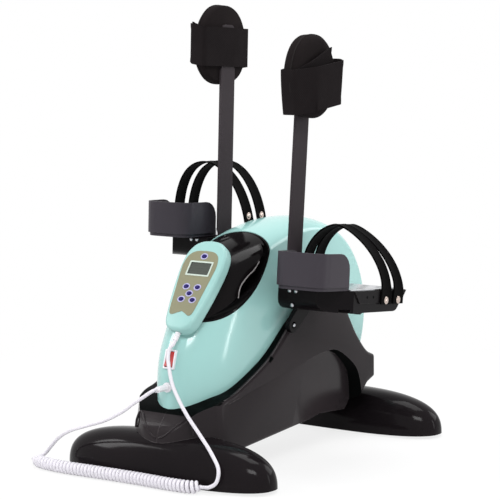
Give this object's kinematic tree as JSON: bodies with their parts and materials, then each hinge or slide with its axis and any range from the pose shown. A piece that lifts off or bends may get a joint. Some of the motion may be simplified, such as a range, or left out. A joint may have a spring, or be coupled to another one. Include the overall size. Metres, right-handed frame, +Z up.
{
  "type": "motorised pedal exerciser",
  "caption": "Motorised rotary pedal exerciser with a rounded housing on cross feet, heel-cup pedals with straps, upright leg bars with calf pads, and a corded hand control.",
  "frame": {"origin": "centre of the footprint of the machine without its cord, on the floor", "axes": "+Z up; +X the right-hand side of the seated user; -Y the nose with the hand control, towards the user; +Y the rear"},
  "size_m": [0.4593, 0.6517, 0.75],
  "materials": {
    "mint_plastic": "glossy",
    "gloss_black_plastic": "glossy",
    "grey_steel": "satin",
    "black_steel": "satin",
    "bright_steel": "brushed",
    "motor_steel": "satin",
    "bronze": "plain",
    "black_rubber": "matt",
    "black_cloth": "woven",
    "grey_plastic": "fine grain",
    "black_plastic": "plain",
    "white_plastic": "semi-gloss",
    "red_plastic": "glossy",
    "khaki_label": "printed film",
    "display": "clear cover",
    "blue_button": "soft"
  },
  "bodies": {
    "base": {"main_frame": "grey_steel", "front_foot_cover": "gloss_black_plastic", "rear_foot_cover": "gloss_black_plastic", "foot_pad_front_left": "black_rubber", "foot_pad_front_right": "black_rubber", "foot_pad_rear_left": "black_rubber", "foot_pad_rear_right": "black_rubber", "centre_shell": "mint_plastic", "side_cover_right": "gloss_black_plastic", "side_cover_left": "gloss_black_plastic", "handle_bowl": "gloss_black_plastic", "carry_handle": "gloss_black_plastic", "power_inlet": "black_plastic", "switch_bezel": "white_plastic", "cord_socket": "white_plastic", "gear_motor": "motor_steel", "drive_belt": "black_rubber", "bearing_left": "bright_steel", "bearing_right": "bright_steel", "cord_to_socket": "white_plastic", "cord_to_hand": "white_plastic", "cord_coil": "white_plastic"},
    "rocker": {"rocker_switch": "red_plastic"},
    "motor_drive": {"motor_pulley": "bright_steel"},
    "crankset": {"driven_pulley": "black_plastic", "crank_axle": "bright_steel", "crank_left": "black_steel", "crank_right": "black_steel", "spindle_left": "bright_steel", "spindle_right": "bright_steel"},
    "pedal_left": {"pedal_frame_left": "black_steel", "pedal_bushing_left": "bronze", "tread_plate_left": "bright_steel", "heel_cup_left": "grey_plastic", "foot_strap_rear_left": "black_rubber", "foot_strap_front_left": "black_rubber", "leg_bar_left": "grey_steel", "calf_pad_left": "black_cloth", "calf_strap_left": "black_cloth"},
    "pedal_right": {"pedal_frame_right": "black_steel", "pedal_bushing_right": "bronze", "tread_plate_right": "bright_steel", "heel_cup_right": "grey_plastic", "foot_strap_rear_right": "black_rubber", "foot_strap_front_right": "black_rubber", "leg_bar_right": "grey_steel", "calf_pad_right": "black_cloth", "calf_strap_right": "black_cloth"},
    "hand_control": {"hand_shell": "mint_plastic", "hand_label": "khaki_label", "hand_display": "display", "hand_relief": "white_plastic"},
    "button_1": {"hand_button_1": "blue_button"},
    "button_2": {"hand_button_2": "blue_button"},
    "button_3": {"hand_button_3": "blue_button"},
    "button_4": {"hand_button_4": "blue_button"},
    "button_5": {"hand_button_5": "blue_button"},
    "button_6": {"hand_button_6": "blue_button"}
  },
  "joints": [
    {"name": "crank_spin", "type": "hinge", "parent": "base", "child": "crankset", "pos_m": [0, 0.0436, 0.291], "axis": [1, 0, 0], "continuous": true},
    {"name": "motor_spin", "type": "hinge", "parent": "base", "child": "motor_drive", "pos_m": [0.036, -0.072, 0.161], "axis": [1, 0, 0], "continuous": true},
    {"name": "level_left", "type": "hinge", "parent": "crankset", "child": "pedal_left", "pos_m": [-0.149, 0.08701, 0.32312], "axis": [1, 0, 0], "continuous": true},
    {"name": "level_right", "type": "hinge", "parent": "crankset", "child": "pedal_right", "pos_m": [0.149, 0.00019, 0.25888], "axis": [1, 0, 0], "continuous": true},
    {"name": "rocker_tilt", "type": "hinge", "parent": "base", "child": "rocker", "pos_m": [0, -0.25291, 0.19], "axis": [1, 0, 0], "range_deg": [0, 16]},
    {"name": "hand_lift", "type": "slide", "parent": "base", "child": "hand_control", "axis": [0, -0.8039, 0.5948], "range_m": [0, 0.25]},
    {"name": "button_1_press", "type": "slide", "parent": "hand_control", "child": "button_1", "axis": [0, 0.8039, -0.5948], "range_m": [0, 0.0008], "stiffness_N_per_m": 200},
    {"name": "button_2_press", "type": "slide", "parent": "hand_control", "child": "button_2", "axis": [0, 0.8039, -0.5948], "range_m": [0, 0.0008], "stiffness_N_per_m": 200},
    {"name": "button_3_press", "type": "slide", "parent": "hand_control", "child": "button_3", "axis": [0, 0.8039, -0.5948], "range_m": [0, 0.0008], "stiffness_N_per_m": 200},
    {"name": "button_4_press", "type": "slide", "parent": "hand_control", "child": "button_4", "axis": [0, 0.8039, -0.5948], "range_m": [0, 0.0008], "stiffness_N_per_m": 200},
    {"name": "button_5_press", "type": "slide", "parent": "hand_control", "child": "button_5", "axis": [0, 0.8039, -0.5948], "range_m": [0, 0.0008], "stiffness_N_per_m": 200},
    {"name": "button_6_press", "type": "slide", "parent": "hand_control", "child": "button_6", "axis": [0, 0.8039, -0.5948], "range_m": [0, 0.0008], "stiffness_N_per_m": 200}
  ],
  "couplings": [
    {"joint": "motor_spin", "follows": "crank_spin", "ratio": 5.2453},
    {"joint": "level_left", "follows": "crank_spin", "ratio": -1},
    {"joint": "level_right", "follows": "crank_spin", "ratio": -1}
  ]
}
